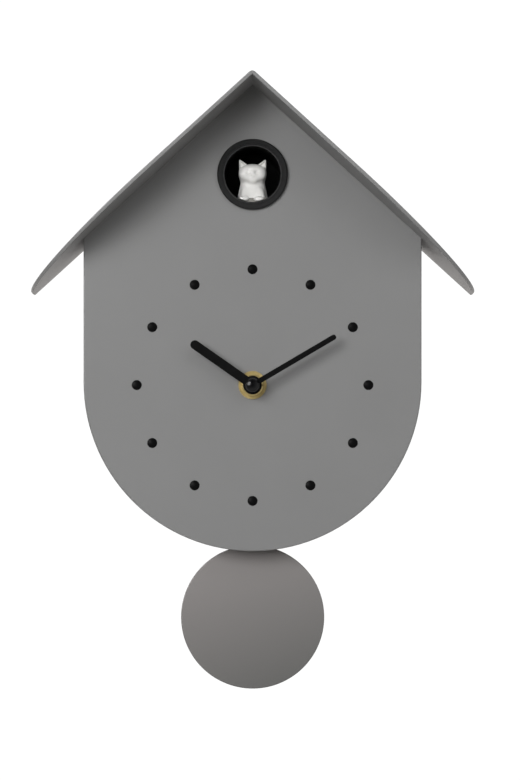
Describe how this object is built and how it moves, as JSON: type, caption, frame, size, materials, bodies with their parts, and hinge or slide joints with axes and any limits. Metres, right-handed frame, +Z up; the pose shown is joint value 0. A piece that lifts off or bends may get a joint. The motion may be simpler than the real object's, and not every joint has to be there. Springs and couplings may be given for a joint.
{
  "type": "cuckoo clock",
  "caption": "House-shaped steel wall clock with a folded overhanging roof, pin dial, a cat figure that slides out of a round window, and a disc pendulum under its round foot.",
  "frame": {"origin": "centre of the hanging keyhole, on the wall plane at the back of the clock", "axes": "+X to the viewer's right, +Y from the room into the wall, +Z up"},
  "size_m": [0.2522, 0.1, 0.3366],
  "materials": {
    "grey_coat": "fine matte powder coat",
    "bob_coat": "fine matte powder coat",
    "black_coat": "satin black lacquer on thin sheet",
    "pin_black": "satin",
    "cap_black": "gloss",
    "bezel_black": "satin",
    "white_gloss": "gloss",
    "sled_grey": "fine moulded grain",
    "brass": "turned",
    "steel": "dull plated",
    "back_board": "fine moulded grain",
    "dark_plastic": "moulded",
    "gear_plastic": "moulded",
    "rubber": "matte",
    "circuit": "satin",
    "components": "satin",
    "copper": "enamelled winding",
    "magnet": "ground",
    "motor_can": "plated",
    "paper": "matte",
    "cell_jacket": "printed film, bare"
  },
  "bodies": {
    "case": {"front_panel": "grey_coat", "side_band": "grey_coat", "roof": "grey_coat", "back_tabs": "grey_coat", "panel_studs": "grey_coat", "hour_markers": "pin_black", "window_tunnel": "bezel_black", "arbor_washer": "brass", "arbor_nut": "brass", "centre_bush": "brass", "back_screws": "steel", "pendulum_pivot": "steel", "pivot_clip": "steel", "gear_axle": "steel", "stud_nuts": "steel", "board_screws": "steel", "speaker_frame": "steel", "battery_contacts": "steel", "back_panel": "back_board", "movement_case": "dark_plastic", "movement_cover": "dark_plastic", "tunnel_retainer": "dark_plastic", "drive_frame": "dark_plastic", "switch_body": "dark_plastic", "battery_holder": "dark_plastic", "stepper_module": "dark_plastic", "board_standoffs": "gear_plastic", "panel_gasket": "rubber", "sound_board": "circuit", "movement_board": "circuit", "board_components": "components", "pendulum_coil": "copper", "speaker_magnet": "magnet", "figure_motor": "motor_can", "speaker_cone": "paper", "battery_cells": "cell_jacket"},
    "minute_train": {"minute_arbor": "steel", "minute_hand": "black_coat", "hand_cap": "cap_black"},
    "hour_train": {"hour_wheel": "gear_plastic", "hour_hand": "black_coat"},
    "setting_train": {"minute_wheel": "gear_plastic", "setting_knob": "dark_plastic"},
    "pendulum": {"pendulum_hanger": "gear_plastic", "pendulum_magnet": "magnet", "pendulum_rod": "steel", "pendulum_bob": "bob_coat", "bob_clips": "steel"},
    "figure": {"figure_sled": "sled_grey", "cat_figure": "white_gloss"},
    "drive_train": {"drive_gear": "gear_plastic"},
    "motor_shaft": {"motor_pinion": "steel"},
    "door": {"battery_door": "back_board"},
    "switch_lever": {"volume_switch": "gear_plastic"}
  },
  "joints": [
    {"name": "minute_spin", "type": "hinge", "parent": "case", "child": "minute_train", "pos_m": [0, -0.055, -0.143], "axis": [0, 1, 0], "continuous": true},
    {"name": "hour_spin", "type": "hinge", "parent": "case", "child": "hour_train", "pos_m": [0, -0.055, -0.143], "axis": [0, 1, 0], "continuous": true},
    {"name": "setting_spin", "type": "hinge", "parent": "case", "child": "setting_train", "pos_m": [-0.0144, -0.0365, -0.143], "axis": [0, 1, 0], "continuous": true},
    {"name": "pendulum_swing", "type": "hinge", "parent": "case", "child": "pendulum", "pos_m": [0, -0.0357, -0.121], "axis": [0, 1, 0], "range_deg": [-6, 6]},
    {"name": "figure_slide", "type": "slide", "parent": "case", "child": "figure", "axis": [0, -1, 0], "range_m": [0, 0.026]},
    {"name": "drive_spin", "type": "hinge", "parent": "case", "child": "drive_train", "pos_m": [0, -0.03575, -0.04665], "axis": [1, 0, 0], "range_deg": [-1, 299]},
    {"name": "motor_spin", "type": "hinge", "parent": "case", "child": "motor_shaft", "pos_m": [0, -0.03575, -0.05865], "axis": [1, 0, 0], "range_deg": [-895, 1]},
    {"name": "door_lift", "type": "slide", "parent": "case", "child": "door", "axis": [0, 1, 0], "range_m": [0, 0.02]},
    {"name": "volume_slide", "type": "slide", "parent": "case", "child": "switch_lever", "axis": [1, 0, 0], "range_m": [-0.002, 0.002]}
  ],
  "couplings": [
    {"joint": "setting_spin", "follows": "minute_spin", "ratio": -0.33333},
    {"joint": "hour_spin", "follows": "minute_spin", "ratio": 0.083333},
    {"joint": "drive_spin", "follows": "figure_slide", "rad_per_m": 200},
    {"joint": "motor_spin", "follows": "figure_slide", "rad_per_m": -600}
  ]
}
